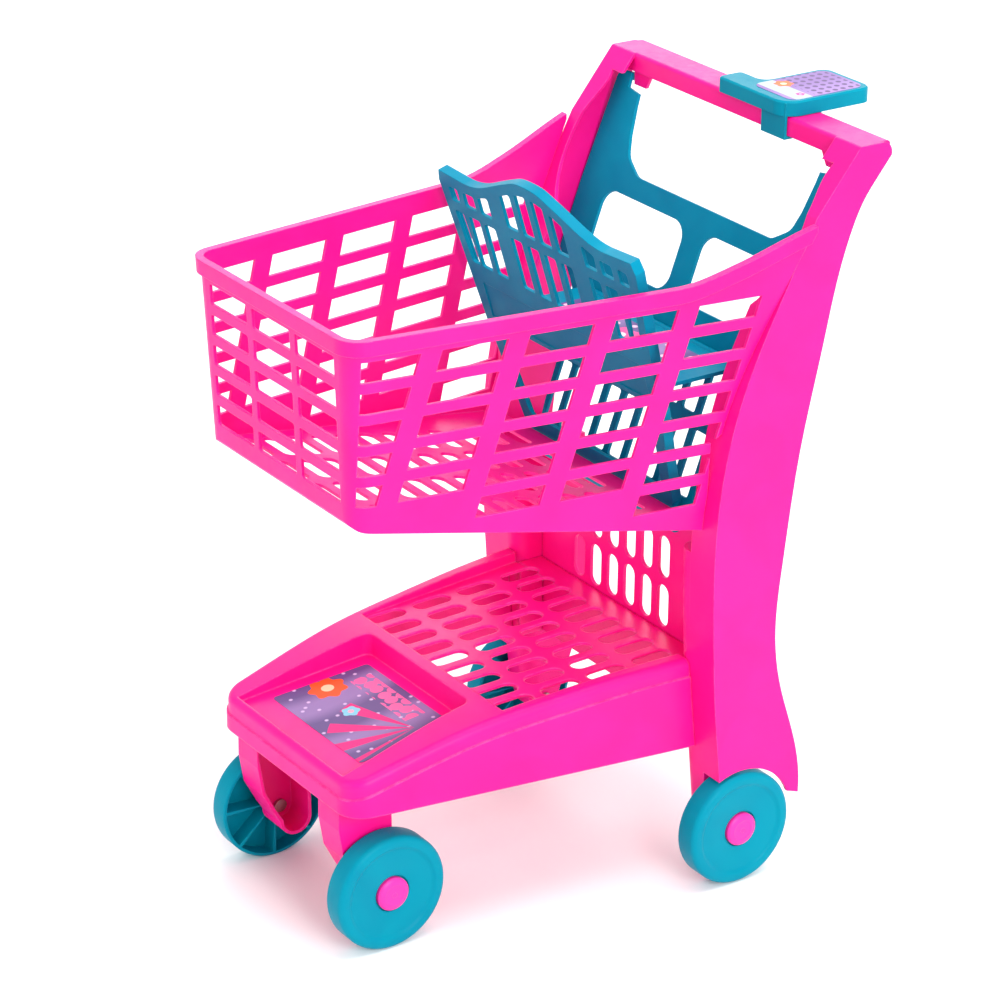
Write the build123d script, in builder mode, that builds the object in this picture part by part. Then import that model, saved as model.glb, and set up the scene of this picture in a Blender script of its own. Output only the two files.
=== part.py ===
"""Child's shopping cart: a moulded push frame, basket, chassis, doll seat and four wheels.

Millimetres. X runs across the cart, -Y is the front, +Z is up, and Z = 0 is the floor.
The origin is under the middle of the cart's overall box.
"""
from build123d import *
from math import cos, pi, radians, sin, tan
import os

os.makedirs("parts", exist_ok=True)

# ---- driving dimensions ----------------------------------------------------
WALL = 2.5                      # moulded wall thickness
RUN_GAP = 0.05                  # radial running clearance of every pin and axle

WHEEL_R = 44.0
WHEEL_WIDTH = 18.5
FRONT_AXLE_Y = -184.0
REAR_AXLE_Y = 79.0
FRONT_WHEEL_FACE_X = 90.0       # outer face of a front wheel
REAR_WHEEL_FACE_X = 149.0       # outer face of a rear wheel
AXLE_R = 3.0
HUB_CAP_R = 13.0

FRAME_HALF_X = 146.0            # outer face of an upright
HANDLE_TOP_Z = 550.0
HANDLE_FRONT_Y = 161.0
HANDLE_BACK_Y = 189.0
HANDLE_HEIGHT = 14.0

RIM_Z = 472.0                   # top of the basket's level rim
BASKET_FRONT_Y = -225.5         # outer face of the front wall at the rim
BASKET_FRONT_HALF_X = 102.0      # half-width of the rim at the front
BASKET_FLARE = 0.133            # growth of half-width per mm towards the rear
BASKET_DRAFT = 0.045            # growth of half-width per mm of height
FLOOR_FRONT_Z = 334.0           # underside of the basket floor at the front
FLOOR_SLOPE = 0.185             # the basket floor falls towards the rear
TOP_SLOT_Z = 448.5              # middle of the top row of wall slots
SLOT_PITCH_Z = 22.7
SLOT_HEIGHT = 15.0

BASE_FRONT_Y = -220.0
BASE_FRONT_HALF_X = 91.0
BASE_FLARE = 0.102
DECK_Z = 163.0                  # deck height at its front edge
DECK_FRONT_Y = -101.0

GATE_LEAN = 20.0                # degrees back from vertical
SEAT_LEAN = 17.3                # degrees forward from vertical
HINGE_Y = 57.0
HINGE_Z = 270.0
RIM_DEPTH = 8.0                 # depth of the stiffening rims of gate and seat back
PAN_LENGTH = 68.0
PAN_HALF_X = 96.0
PAN_S = 122.0                   # pan pivot's height up the gate's face
PAN_SETOUT = 3.5                # pan pivot in front of the gate's face

LABEL = 0.3                     # thickness of a printed label


def lean_plane(y, z, degrees_back):
    """Plane that holds the X direction, leaning back from vertical, seen from the front."""
    a = radians(degrees_back)
    return Plane(origin=(0, y, z), x_dir=(1, 0, 0), z_dir=(0, -cos(a), sin(a)))


def side_prism(outline, x_from, x_to):
    """Solid with the given YZ outline between two X positions."""
    with BuildPart() as prism:
        with BuildSketch(Plane.YZ.offset(x_from)):
            add(outline.sketch_local)
        extrude(amount=x_to - x_from)
    return prism.part


def both_sides(part):
    """The part and its mirror image across the cart's middle."""
    return part + mirror(part, about=Plane.YZ)


def save(part, label):
    part.label = label
    export_step(part, f"parts/{label}.step")


# ---- wheels, hub caps, axles -----------------------------------------------
# One wheel is made about the X axis with its outer face at X = 0, then copied.
HUB_R = 8.0
HUB_INSET = 7.5                 # outer end of the hub tube, inside the outer face
CAP_POCKET_R = 10.0
FACE_SKIN = 2.5
FACE_RECESS = 2.0               # the disc lies this far inside the raised outer ring
CAP_SEAT = 2.8                  # the cap's flange sits in a pocket this deep
CAP_GAP = 0.9
TREAD = 2.6
SPOKES = 8

with BuildPart() as wheel:
    with BuildSketch(Plane.XY):
        with BuildLine():
            Polyline(
                (-WHEEL_WIDTH, WHEEL_R - TREAD),
                (-WHEEL_WIDTH, WHEEL_R - 1.2),
                (-WHEEL_WIDTH + 1.2, WHEEL_R),
                (-2.0, WHEEL_R),
                (0, WHEEL_R - 2.0),
                (0, WHEEL_R - 6.5),
                (-FACE_RECESS, WHEEL_R - 9.0),
                (-1.4, HUB_CAP_R + CAP_GAP),
                (-CAP_SEAT, HUB_CAP_R + CAP_GAP),
                (-CAP_SEAT, CAP_POCKET_R),
                (-HUB_INSET, CAP_POCKET_R),
                (-HUB_INSET, AXLE_R + RUN_GAP),
                (-WHEEL_WIDTH - 1.0, AXLE_R + RUN_GAP),
                (-WHEEL_WIDTH - 1.0, HUB_R),
                (-HUB_INSET - FACE_SKIN, HUB_R),
                (-HUB_INSET - FACE_SKIN, CAP_POCKET_R + FACE_SKIN),
                (-FACE_RECESS - FACE_SKIN, CAP_POCKET_R + FACE_SKIN),
                (-FACE_RECESS - FACE_SKIN, WHEEL_R - TREAD),
                close=True,
            )
        make_face()
    revolve(axis=Axis.X)
    with BuildSketch(Plane.YZ.offset(-FACE_RECESS - 2.0)):
        with PolarLocations((HUB_R + WHEEL_R - TREAD) / 2, SPOKES):
            Rectangle(WHEEL_R - TREAD - HUB_R + 1.0, 2.0)
    extrude(amount=-(WHEEL_WIDTH - FACE_RECESS - 4.0))
    with BuildSketch(Plane.YZ.offset(-HUB_INSET)):
        Circle(CAP_POCKET_R)
    extrude(amount=HUB_INSET, mode=Mode.SUBTRACT)

with BuildPart() as hub_cap:
    with BuildSketch(Plane.XY):
        with BuildLine():
            Polyline(
                (2.0, 0),
                (-4.5, 0),
                (-4.5, 5.5),
                (-5.5, 5.5),
                (-5.5, CAP_POCKET_R),
                (-CAP_SEAT, CAP_POCKET_R),
                (-CAP_SEAT, HUB_CAP_R),
                (0.2, HUB_CAP_R),
            )
            TangentArc((2.0, 0), (0.2, HUB_CAP_R), tangent=(0, 1))
        make_face()
    revolve(axis=Axis.X)
    with BuildSketch(Plane.YZ.offset(-1.5)):
        Circle(CAP_POCKET_R - 1.6)
    extrude(amount=-4.5, mode=Mode.SUBTRACT)

wheel_places = {
    "front_right": (FRONT_WHEEL_FACE_X, FRONT_AXLE_Y),
    "front_left": (-FRONT_WHEEL_FACE_X, FRONT_AXLE_Y),
    "rear_right": (REAR_WHEEL_FACE_X, REAR_AXLE_Y),
    "rear_left": (-REAR_WHEEL_FACE_X, REAR_AXLE_Y),
}
for corner, (face_x, axle_y) in wheel_places.items():
    turn = 0 if face_x > 0 else 180
    seat = Location((face_x, axle_y, WHEEL_R), (0, 0, turn))
    save(wheel.part.moved(seat), f"wheel_{corner}")
    save(hub_cap.part.moved(seat), f"hub_cap_{corner}")

AXLE_END_INSET = 5.0            # axle pin's end, inside the wheel's outer face
PIN_HEAD_R = 5.0
PIN_HEAD = 2.5
FRONT_PIN_X = 66.4              # inner face of a front leg's web, less a little play
REAR_PIN_X = 101.9
with BuildPart() as axle_pins:
    for face_x, axle_y in wheel_places.values():
        side = 1 if face_x > 0 else -1
        head_x = FRONT_PIN_X if axle_y == FRONT_AXLE_Y else REAR_PIN_X
        head_plane = Plane(origin=(side * head_x, axle_y, WHEEL_R), z_dir=(side, 0, 0))
        with BuildSketch(head_plane):
            Circle(PIN_HEAD_R)
        extrude(amount=-PIN_HEAD)
        with BuildSketch(head_plane):
            Circle(AXLE_R)
        extrude(amount=abs(face_x) - AXLE_END_INSET - head_x)
save(axle_pins.part, "axle_pins")

CLIP_INSET = HUB_INSET - 0.4    # inner face of a retaining clip
with BuildPart() as axle_clips:
    for face_x, axle_y in wheel_places.values():
        side = 1 if face_x > 0 else -1
        clip_x = face_x - side * CLIP_INSET
        clip_plane = Plane(origin=(clip_x, axle_y, WHEEL_R), z_dir=(side, 0, 0))
        with BuildSketch(clip_plane):
            Circle(7.0)
            Circle(AXLE_R, mode=Mode.SUBTRACT)
        extrude(amount=0.9)
save(axle_clips.part, "axle_clips")

# ---- push frame: two channel uprights and the handle bar, one moulding -----
ARCH_R = WHEEL_R + 3.0
LEG_FRONT_EDGE = [
    (HANDLE_FRONT_Y, HANDLE_TOP_Z),
    (125.0, 505.0),
    (98.0, 452.0),
    (67.0, 384.0),
    (50.5, 312.0),
    (47.5, 262.0),
    (49.0, 204.0),
    (52.5, 150.0),
    (59.5, 84.0),
]
LEG_REAR_EDGE = [
    (133.0, 58.0),
    (125.0, 110.0),
    (112.0, 150.0),
    (105.0, 195.0),
    (109.0, 251.0),
    (120.0, 334.0),
    (136.0, 410.0),
    (150.0, 471.0),
    (164.0, 507.0),
    (HANDLE_BACK_Y, 540.0),
]
CHANNEL_X = 102.0               # inner wall of the lower channel
FLANGE_X = 118.0                # inner edge of the upper flange
KNEE_Z = 262.0                  # the channel is closed below, L-shaped above

AXLE_BOSS_R = 8.0
FLANGE_WALL = 3.0
KNEE_R = 12.0                   # rounded inner corner of the lower channel
INNER_LEG_X = 127.0             # the leg stays inboard of this beside the wheel
HANDLE_R = 3.0
HANDLE_BACK_R = 8.0
FLANGE_INNER_EDGE = [           # X and Z of the upper flange's inner edge
    (FLANGE_X, 440.0), (136.0, 496.0), (133.0, 513.0), (129.5, 526.0), (130.5, 536.0),
]
SCREW_R = 1.5                   # screws that hold the base between the uprights
SCREW_PLACES = ((70.3, 124.0), (70.3, 152.0))
SCREW_LENGTH = 10.0

with BuildSketch(Plane.YZ) as leg_outline:
    with BuildLine():
        Polyline(LEG_FRONT_EDGE[0], LEG_FRONT_EDGE[1], LEG_FRONT_EDGE[2])
        Spline(LEG_FRONT_EDGE[2:], tangents=[(-0.46, -0.89), (0.1, -1.0)])
        Line(LEG_FRONT_EDGE[-1], LEG_REAR_EDGE[0])
        Spline(LEG_REAR_EDGE, tangents=[(0.05, 1.0), (0.62, 0.78)])
        Polyline(LEG_REAR_EDGE[-1], (HANDLE_BACK_Y, HANDLE_TOP_Z), LEG_FRONT_EDGE[0])
    make_face()
    leg_top = leg_outline.vertices().group_by(Axis.Y)[-1].sort_by(Axis.X)
    fillet(leg_top[-1], radius=HANDLE_BACK_R)
    leg_top = leg_outline.vertices().group_by(Axis.Y)[-1].sort_by(Axis.X)
    fillet(leg_top[0], radius=HANDLE_R)

with BuildSketch(Plane.YZ) as channel_outline:
    with BuildLine():
        Polyline((118, 120), (112, KNEE_Z), LEG_FRONT_EDGE[5])
        Spline(LEG_FRONT_EDGE[5:], tangents=[(0.0, -1.0), (0.1, -1.0)])
        Polyline(LEG_FRONT_EDGE[-1], (62.0, 60.0), (REAR_AXLE_Y - 12.0, WHEEL_R))
        ThreePointArc(
            (REAR_AXLE_Y - 12.0, WHEEL_R),
            (REAR_AXLE_Y, WHEEL_R - 12.0),
            (REAR_AXLE_Y + 12.0, WHEEL_R),
        )
        Line((REAR_AXLE_Y + 12.0, WHEEL_R), (118, 120))
    make_face()

with BuildSketch(Plane.YZ) as handle_outline:
    with BuildLine():
        Polyline(
            (HANDLE_FRONT_Y, HANDLE_TOP_Z - HANDLE_HEIGHT),
            (HANDLE_FRONT_Y, HANDLE_TOP_Z),
            (HANDLE_BACK_Y, HANDLE_TOP_Z),
            (HANDLE_BACK_Y, HANDLE_TOP_Z - HANDLE_HEIGHT),
            close=True,
        )
    make_face()
    fillet(handle_outline.vertices().group_by(Axis.Y)[-1], radius=HANDLE_R)

CHANNEL_TO_X = FRAME_HALF_X - WALL
with BuildPart() as channel:
    add(side_prism(channel_outline, CHANNEL_X, CHANNEL_TO_X))
    long_front = [
        e for e in channel.edges().filter_by_position(Axis.X, CHANNEL_X, CHANNEL_X)
        if e.length > 150 and e.center().Y < 60
    ]
    fillet(long_front, radius=KNEE_R)
with BuildPart() as channel_bore:
    add(side_prism(channel_outline, CHANNEL_X + WALL, CHANNEL_TO_X))
    bore_front = [
        e for e in channel_bore.edges().filter_by_position(Axis.X, CHANNEL_X + WALL, CHANNEL_X + WALL)
        if e.length > 150 and e.center().Y < 60
    ]
    fillet(bore_front, radius=KNEE_R - WALL)

with BuildPart() as screw_bores:
    for screw_y, screw_z in SCREW_PLACES:
        with BuildSketch(Plane(origin=(0, screw_y, screw_z), z_dir=(1, 0, 0))):
            Circle(SCREW_R + RUN_GAP)
        extrude(amount=CHANNEL_X + 2 * WALL, both=True)

with BuildPart() as upright:
    add(side_prism(leg_outline, FLANGE_X, FRAME_HALF_X))
    behind_flange = side_prism(leg_outline, FLANGE_X, CHANNEL_TO_X)
    add(behind_flange.moved(Location((0, FLANGE_WALL, 0))), mode=Mode.SUBTRACT)
    add(behind_flange.moved(Location((0, 30, 0))), mode=Mode.SUBTRACT)
    add(channel.part)
    add(channel_bore.part.moved(Location((0, FLANGE_WALL, -0.2))), mode=Mode.SUBTRACT)
    for shift in (20, 45):
        add(
            side_prism(channel_outline, CHANNEL_X + WALL, CHANNEL_TO_X).moved(
                Location((0, shift, -0.2))
            ),
            mode=Mode.SUBTRACT,
        )
    # the flange is cut back towards the handle
    with BuildSketch(Plane.XZ):
        with BuildLine():
            Spline(FLANGE_INNER_EDGE)
            Polyline(
                FLANGE_INNER_EDGE[-1],
                (FLANGE_X - 1, FLANGE_INNER_EDGE[-1][1]),
                (FLANGE_X - 1, FLANGE_INNER_EDGE[0][1]),
                FLANGE_INNER_EDGE[0],
            )
        make_face()
    extrude(amount=-HANDLE_BACK_Y, mode=Mode.SUBTRACT)
    # axle boss, wheel arch and axle hole
    with BuildSketch(Plane.YZ.offset(CHANNEL_X)):
        with Locations((REAR_AXLE_Y, WHEEL_R)):
            Circle(AXLE_BOSS_R)
    extrude(amount=INNER_LEG_X - 1.0 - CHANNEL_X)
    with BuildSketch(Plane.YZ.offset(INNER_LEG_X)):
        with Locations((REAR_AXLE_Y, WHEEL_R)):
            Circle(ARCH_R)
    extrude(amount=FRAME_HALF_X, mode=Mode.SUBTRACT)
    with BuildSketch(Plane.YZ.offset(CHANNEL_X - 1)):
        with Locations((REAR_AXLE_Y, WHEEL_R)):
            Circle(AXLE_R + RUN_GAP)
    extrude(amount=FRAME_HALF_X, mode=Mode.SUBTRACT)
    add(screw_bores.part, mode=Mode.SUBTRACT)

TAB_INNER_X = 100.0             # snap tabs under the bar hold the gate's arms
TAB_OUTER_X = 120.5
TAB_BOTTOM_Z = 525.0
TAB_FRONT_Y = 163.5
with BuildPart() as push_frame:
    add(upright.part)
    with BuildSketch(Plane.YZ):
        add(handle_outline.sketch_local)
    extrude(amount=CHANNEL_TO_X)
    with BuildSketch(Plane.YZ):
        with Locations(((HANDLE_FRONT_Y + HANDLE_BACK_Y) / 2, HANDLE_TOP_Z - WALL - HANDLE_HEIGHT)):
            Rectangle(HANDLE_BACK_Y - HANDLE_FRONT_Y - 2 * WALL, 2 * HANDLE_HEIGHT)
    extrude(amount=CHANNEL_TO_X, mode=Mode.SUBTRACT)
    with BuildSketch(Plane.XZ.offset(-TAB_FRONT_Y)):
        with BuildLine():
            Polyline(
                (TAB_INNER_X, HANDLE_TOP_Z - WALL),
                (TAB_INNER_X, HANDLE_TOP_Z - HANDLE_HEIGHT),
                (TAB_INNER_X + 6, TAB_BOTTOM_Z),
                (TAB_OUTER_X, TAB_BOTTOM_Z),
                (TAB_OUTER_X, HANDLE_TOP_Z - WALL),
                close=True,
            )
        make_face()
    extrude(amount=-WALL)
    mirror(about=Plane.YZ)
save(push_frame.part, "push_frame")

# ---- basket ----------------------------------------------------------------
FIT = 0.3                       # gap where a moulding meets the uprights
WALL_TOP_Z = 512.0              # the wall planes run up to here before the rim is cut
WALL_FOOT_Z = 250.0
BASKET_REAR_Y = 130.0
CORNER_R = 16.0
LIP_HEIGHT = 11.0
LIP_OVERHANG = 3.4
FLOOR_REAR_Y = 50.0
RIM_LINE = [(15.0, RIM_Z), (49.0, 478.0), (69.0, 484.0), (121.0, 502.0)]


def basket_half_x(y, z):
    """Half-width of the basket's outer wall plane."""
    return BASKET_FRONT_HALF_X + BASKET_FLARE * (y - BASKET_FRONT_Y) + BASKET_DRAFT * (z - RIM_Z)


def floor_z(y):
    """Underside of the sloping basket floor."""
    return FLOOR_FRONT_Z - FLOOR_SLOPE * (y - BASKET_FRONT_Y)


def leg_front_y(z):
    """Front edge of an upright at height z."""
    for upper, lower in zip(LEG_FRONT_EDGE, LEG_FRONT_EDGE[1:]):
        if upper[1] >= z >= lower[1]:
            part = (z - lower[1]) / (upper[1] - lower[1])
            return lower[0] + part * (upper[0] - lower[0])
    return LEG_FRONT_EDGE[-1][0]


def wall_envelope(grow, corner_r):
    """Drafted solid inside the wall planes moved outwards by grow, with rounded front corners."""
    with BuildPart() as envelope:
        for z in (WALL_FOOT_Z, WALL_TOP_Z):
            front_y = BASKET_FRONT_Y - BASKET_DRAFT * (z - RIM_Z) - grow
            front_x = basket_half_x(front_y, z) + grow
            rear_x = basket_half_x(BASKET_REAR_Y, z) + grow
            with BuildSketch(Plane.XY.offset(z)):
                Polygon(
                    (-front_x, front_y),
                    (front_x, front_y),
                    (rear_x, BASKET_REAR_Y),
                    (-rear_x, BASKET_REAR_Y),
                    align=None,
                )
        loft()
        upright_edges = envelope.edges().filter_by(lambda e: abs(e.tangent_at(0.5).Z) > 0.9)
        fillet(upright_edges.sort_by(Axis.Y)[:2], radius=corner_r)
    return envelope.part


with BuildSketch(Plane.YZ) as rim_band:
    with BuildLine():
        top_line = Spline(RIM_LINE, tangents=[(1.0, 0.0), (1.0, 0.3)])
        low_line = Spline(
            [(y, z - LIP_HEIGHT) for y, z in RIM_LINE], tangents=[(1.0, 0.0), (1.0, 0.3)]
        )
        Polyline(
            RIM_LINE[0], (-240, RIM_Z), (-240, RIM_Z - LIP_HEIGHT), (15.0, RIM_Z - LIP_HEIGHT)
        )
        Line(RIM_LINE[-1], (RIM_LINE[-1][0], RIM_LINE[-1][1] - LIP_HEIGHT))
    make_face()

with BuildSketch(Plane.YZ) as basket_side:
    with BuildLine():
        Spline(RIM_LINE, tangents=[(1.0, 0.0), (1.0, 0.3)])
        Polyline(
            RIM_LINE[-1],
            (RIM_LINE[-1][0], 400.0),
            (FLOOR_REAR_Y, 350.0),
            (FLOOR_REAR_Y, floor_z(FLOOR_REAR_Y)),
            (BASKET_FRONT_Y + 5.2, floor_z(BASKET_FRONT_Y + 5.2)),
            (BASKET_FRONT_Y - 1.5, RIM_Z),
            RIM_LINE[0],
        )
    make_face()
    fillet(basket_side.vertices().sort_by(Axis.X)[:2].sort_by(Axis.Y)[0], radius=12.0)

with BuildSketch(Plane.YZ) as above_floor:
    Polygon(
        (BASKET_FRONT_Y - 6.0, floor_z(BASKET_FRONT_Y - 6.0) + WALL),
        (BASKET_REAR_Y + 1, floor_z(BASKET_REAR_Y + 1) + WALL),
        (BASKET_REAR_Y + 1, WALL_TOP_Z + 1),
        (BASKET_FRONT_Y - 6.0, WALL_TOP_Z + 1),
        align=None,
    )

SIDE_COLUMNS = 5
COLUMN_PITCH = 64.1             # along Y
COLUMN_SLANT = 0.28             # columns lean rearward going up, mm per mm
COLUMN_RIB = 15.4
FIRST_COLUMN_Y = BASKET_FRONT_Y + 9.5
FIRST_REAR_Y = -188.4           # rear edge of the first column at SLANT_Z
SLANT_Z = 403.0
LOWEST_SLOT_GAP = 4.0           # least height of wall left under a slot
SIDE_ROWS = 7

# side slots, as one set of slanted windows in the YZ plane
with BuildSketch(Plane.YZ) as side_windows:
    for column in range(SIDE_COLUMNS):
        for row in range(SIDE_ROWS):
            z = TOP_SLOT_Z - SLOT_PITCH_Z * row
            low_z = z - SLOT_HEIGHT / 2
            high_z = z + SLOT_HEIGHT / 2

            def edge_y(number, height):
                return FIRST_REAR_Y + COLUMN_PITCH * number + COLUMN_SLANT * (height - SLANT_Z)

            front = [edge_y(column - 1, h) + COLUMN_RIB for h in (low_z, high_z)]
            rear = [edge_y(column, h) for h in (low_z, high_z)]
            if column == 0:
                front = [FIRST_COLUMN_Y, FIRST_COLUMN_Y]
            if column == SIDE_COLUMNS - 1:
                rear = [min(r, leg_front_y(h) - 4.0) for r, h in zip(rear, (low_z, high_z))]
            if low_z - floor_z((front[0] + rear[0]) / 2) < LOWEST_SLOT_GAP:
                continue
            Polygon(
                (front[0], low_z), (rear[0], low_z), (rear[1], high_z), (front[1], high_z),
                align=None,
            )

FRONT_SLOT_PITCH = 56.4
FRONT_SLOT_WIDTH = 50.0
FRONT_ROWS = 5
with BuildSketch(Plane.XZ) as front_windows:
    middle_row_z = TOP_SLOT_Z - SLOT_PITCH_Z * (FRONT_ROWS - 1) / 2
    with Locations((0, middle_row_z)):
        with GridLocations(FRONT_SLOT_PITCH, SLOT_PITCH_Z, 3, FRONT_ROWS):
            Rectangle(FRONT_SLOT_WIDTH, SLOT_HEIGHT)
    fillet(front_windows.vertices(), radius=2.0)

FLOOR_SLOT = (38.0, 12.0)
with BuildSketch(Plane.XY) as floor_windows:
    with Locations((0, -86)):
        with GridLocations(47.0, 20.0, 4, 12):
            SlotOverall(*FLOOR_SLOT)

with BuildPart() as basket_walls:
    add(wall_envelope(0, CORNER_R))
    add(side_prism(basket_side, -160, 160), mode=Mode.INTERSECT)
with BuildPart() as basket_rim:
    add(wall_envelope(LIP_OVERHANG, CORNER_R + LIP_OVERHANG))
    add(side_prism(rim_band, -160, 160), mode=Mode.INTERSECT)
with BuildPart() as basket_bore:
    add(wall_envelope(-WALL, CORNER_R - WALL))
    with BuildSketch(Plane.XY.offset(WALL_FOOT_Z)):
        with Locations((0, BASKET_REAR_Y)):
            Rectangle(2 * basket_half_x(FLOOR_REAR_Y, WALL_FOOT_Z) - 2 * WALL, 60)
    extrude(amount=WALL_TOP_Z - WALL_FOOT_Z)
    add(side_prism(above_floor, -160, 160), mode=Mode.INTERSECT)
# everything behind the uprights' front faces belongs to the uprights
upright_hull = side_prism(leg_outline, CHANNEL_X - FIT, FRAME_HALF_X + 10)
clear_of_uprights = both_sides(upright_hull.moved(Location((0, -FIT, 0))))

with BuildPart() as basket:
    add(basket_walls.part)
    add(basket_rim.part)
    add(basket_bore.part, mode=Mode.SUBTRACT)
    with BuildSketch(Plane.YZ):
        add(side_windows.sketch_local)
    extrude(amount=160, both=True, mode=Mode.SUBTRACT)
    with BuildSketch(Plane.XZ.offset(-BASKET_FRONT_Y - 20)):
        add(front_windows.sketch_local)
    extrude(amount=40, mode=Mode.SUBTRACT)
    with BuildSketch(Plane.XY.offset(WALL_FOOT_Z)):
        add(floor_windows.sketch_local)
    extrude(amount=100, mode=Mode.SUBTRACT)
    add(clear_of_uprights, mode=Mode.SUBTRACT)
save(basket.part, "basket")

# ---- base: skirt, shelf deck and sticker tray ------------------------------
SKIRT_REAR_Y = 60.0
DECK_REAR_Y = 73.0
DECK_RISE = 0.031               # the deck rises slightly towards the rear
SKIRT_BOTTOM = [(BASE_FRONT_Y, 112.0), (46.0, 106.0)]
CROWN = [
    (BASE_FRONT_Y, 137.0), (-160.0, 153.0), (-120.0, 162.0), (-61.0, 169.0), (-1.0, 174.0),
    (SKIRT_REAR_Y, 176.0),
]
STEP_DROP = 13.0                # the skirt steps out this far below the crown
STEP_OUT = 1.2
TRAY_FRONT_Y = -214.0
TRAY_REAR_Y = -105.0
TRAY_FRONT_HALF_X = 72.0
TRAY_REAR_HALF_X = 67.0
TRAY_FRONT_Z = 134.0
TRAY_REAR_Z = 147.0
RECESS_FRONT_HALF_X = 92.0
RECESS_REAR_HALF_X = 104.0


def base_half_x(y):
    return BASE_FRONT_HALF_X + BASE_FLARE * (y - BASE_FRONT_Y)


def base_block(inset, front_r, rear_y=SKIRT_REAR_Y):
    """Plan of the skirt moved inwards, as a tall block with rounded front corners."""
    front_x = base_half_x(BASE_FRONT_Y) - inset
    rear_x = base_half_x(rear_y) - inset
    with BuildPart() as block:
        with BuildSketch(Plane.XY.offset(90)) as plan:
            Polygon(
                (-front_x, BASE_FRONT_Y + inset), (front_x, BASE_FRONT_Y + inset),
                (rear_x, rear_y), (-rear_x, rear_y),
                align=None,
            )
            fillet(plan.vertices().sort_by(Axis.Y)[:2], radius=front_r)
        extrude(amount=110)
    return block.part


def plan_block(front_y, rear_y, front_x, rear_x, profile, rear_r=0.0, side_draft=0.0):
    """Block of trapezoid plan, with or without rounded rear corners and draft, cut to a profile."""
    with BuildPart() as block:
        with BuildSketch(Plane.XY.offset(90)) as plan:
            Polygon(
                (-front_x, front_y), (front_x, front_y), (rear_x, rear_y), (-rear_x, rear_y),
                align=None,
            )
            if rear_r > 0:
                fillet(plan.vertices().sort_by(Axis.Y)[2:], radius=rear_r)
        extrude(amount=110, taper=-side_draft)
        add(side_prism(profile, -130, 130), mode=Mode.INTERSECT)
    return block.part


with BuildSketch(Plane.YZ) as skirt_profile:
    with BuildLine():
        Spline(CROWN)
        Polyline(
            CROWN[-1], (SKIRT_REAR_Y, SKIRT_BOTTOM[1][1]), SKIRT_BOTTOM[1], SKIRT_BOTTOM[0], CROWN[0]
        )
    make_face()
    fillet(skirt_profile.vertices().sort_by(Axis.X)[:2].sort_by(Axis.Y)[-1], radius=5.0)

with BuildSketch(Plane.YZ) as under_deck:
    with BuildLine():
        Spline([(y, z - WALL) for y, z in CROWN])
        Polyline(
            (CROWN[-1][0], CROWN[-1][1] - WALL), (SKIRT_REAR_Y, 90), (BASE_FRONT_Y, 90),
            (CROWN[0][0], CROWN[0][1] - WALL),
        )
    make_face()


def deck_z(y):
    return DECK_Z + DECK_RISE * (y - DECK_FRONT_Y)


def tray_z(y):
    share = (y - TRAY_FRONT_Y) / (TRAY_REAR_Y - TRAY_FRONT_Y)
    return TRAY_FRONT_Z + share * (TRAY_REAR_Z - TRAY_FRONT_Z)


def band(front_y, rear_y, floor, low, draft=0.0):
    """YZ strip from a sloping floor up; its front edge leans forward by the draft."""
    with BuildSketch(Plane.YZ) as strip:
        Polygon(
            (front_y, floor(front_y) + low), (rear_y, floor(rear_y) + low), (rear_y, 199.0),
            (front_y - draft * (199.0 - floor(front_y)), 199.0), align=None,
        )
    return strip


RECESS_FRONT_Y = DECK_FRONT_Y + 6.0
RECESS_DRAFT = 0.08
SIDE_DRAFT = 0.5                # degrees
WELL_R = 7.0
recess = plan_block(
    RECESS_FRONT_Y - 5, SKIRT_REAR_Y + 1, RECESS_FRONT_HALF_X, RECESS_REAR_HALF_X,
    band(RECESS_FRONT_Y, SKIRT_REAR_Y + 2, deck_z, 0, RECESS_DRAFT), side_draft=SIDE_DRAFT,
)
recess_lining = plan_block(
    RECESS_FRONT_Y - 9, SKIRT_REAR_Y, RECESS_FRONT_HALF_X + WALL, RECESS_REAR_HALF_X + WALL,
    band(RECESS_FRONT_Y - WALL, SKIRT_REAR_Y, deck_z, -WALL, RECESS_DRAFT), side_draft=SIDE_DRAFT,
)
well = plan_block(
    TRAY_FRONT_Y, TRAY_REAR_Y, TRAY_FRONT_HALF_X, TRAY_REAR_HALF_X,
    band(TRAY_FRONT_Y - 1, TRAY_REAR_Y + 1, tray_z, 0), WELL_R,
)
well_lining = plan_block(
    TRAY_FRONT_Y - WALL, TRAY_REAR_Y + WALL, TRAY_FRONT_HALF_X + WALL, TRAY_REAR_HALF_X + WALL,
    band(TRAY_FRONT_Y - 5, TRAY_REAR_Y + 5, tray_z, -WALL), WELL_R + WALL,
)
with BuildSketch(Plane.YZ) as lower_skirt:
    with BuildLine():
        Spline([(y, z - STEP_DROP) for y, z in CROWN])
        Polyline(
            (CROWN[-1][0], CROWN[-1][1] - STEP_DROP), (SKIRT_REAR_Y, 90), (BASE_FRONT_Y - 3, 90),
            (BASE_FRONT_Y - 3, CROWN[0][1] - STEP_DROP), (CROWN[0][0], CROWN[0][1] - STEP_DROP),
        )
    make_face()

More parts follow.
